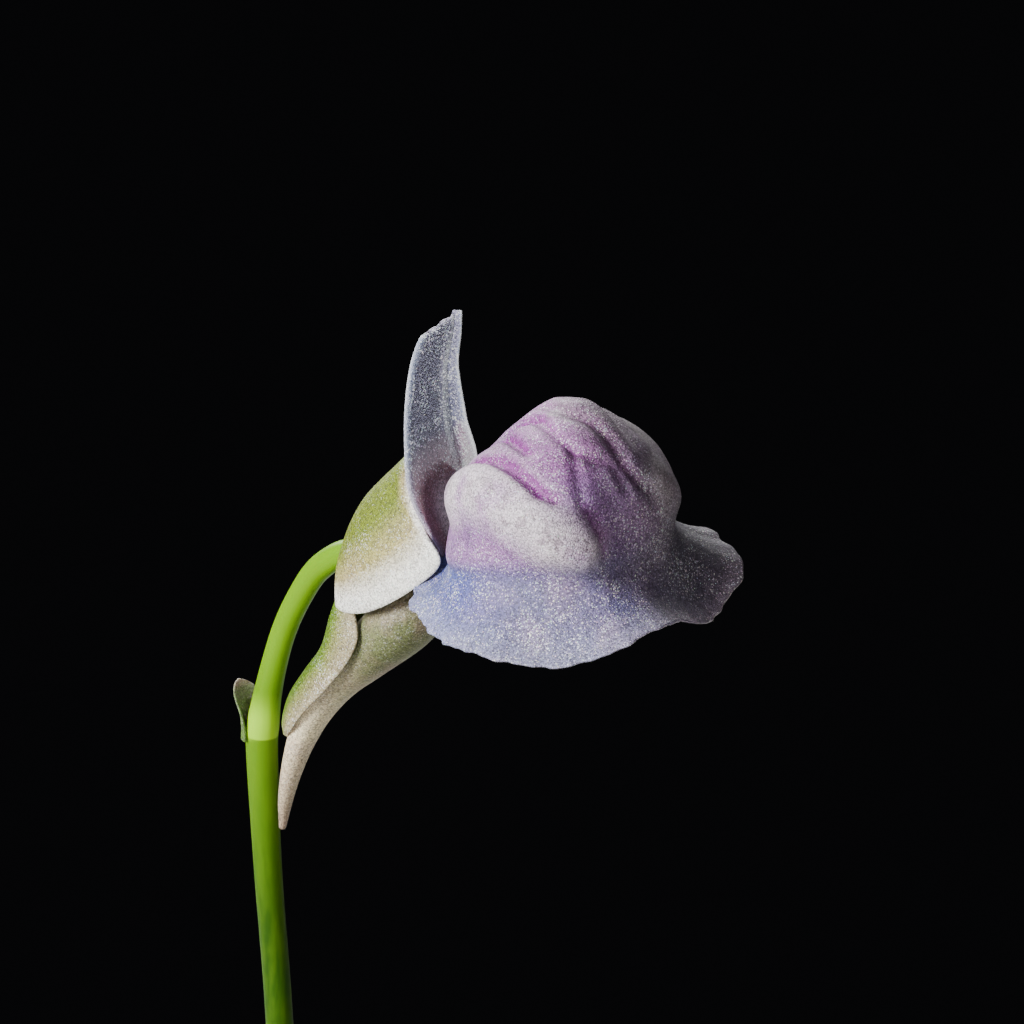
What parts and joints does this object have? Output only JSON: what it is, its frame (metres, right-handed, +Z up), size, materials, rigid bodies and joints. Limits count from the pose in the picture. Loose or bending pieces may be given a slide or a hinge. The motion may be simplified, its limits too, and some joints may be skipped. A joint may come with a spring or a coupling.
{
  "type": "potted bladderwort plant",
  "caption": "Small carnivorous plant, Utricularia graminifolia: grass-like leaves in a clay pot and a thin upright stalk with a violet two-lipped, spurred flower.",
  "frame": {"origin": "centre of the pot's underside, on the surface that it stands on", "axes": "+Z up, +X the way the flower faces, +Y to the flower's left"},
  "size_m": [0.056, 0.056, 0.1202],
  "materials": {
    "clay": "unglazed fired clay, dry and matt",
    "soil": "damp dark peat, rough",
    "leaf": "fresh leaf, softly shining",
    "stalk": "thin green stalk, smooth",
    "calyx": "pale green sepal with a glistening margin",
    "upper_lip": "thin translucent grey-violet petal, glistening",
    "lower_lip": "thin translucent violet petal with a creamy palate, glistening",
    "spur": "thin cream to pinkish-brown petal"
  },
  "bodies": {
    "root": {"pot": "clay", "soil": "soil", "leaf_tuft_01": "leaf", "leaf_tuft_02": "leaf", "leaf_tuft_03": "leaf", "leaf_tuft_04": "leaf", "leaf_tuft_05": "leaf", "leaf_tuft_06": "leaf", "leaf_tuft_07": "leaf", "leaf_tuft_08": "leaf", "leaf_tuft_09": "leaf", "leaf_tuft_10": "leaf", "leaf_tuft_11": "leaf", "leaf_tuft_12": "leaf", "leaf_tuft_13": "leaf", "leaf_tuft_14": "leaf", "leaf_tuft_15": "leaf", "leaf_tuft_16": "leaf", "leaf_tuft_17": "leaf", "leaf_tuft_18": "leaf", "leaf_tuft_19": "leaf", "leaf_tuft_20": "leaf", "leaf_tuft_21": "leaf", "flower_stalk": "stalk", "corolla_spur": "spur", "corolla_lower_lip": "lower_lip", "corolla_upper_lip": "upper_lip", "calyx_upper_lobe": "calyx", "calyx_lower_lobe": "calyx"}
  },
  "joints": []
}
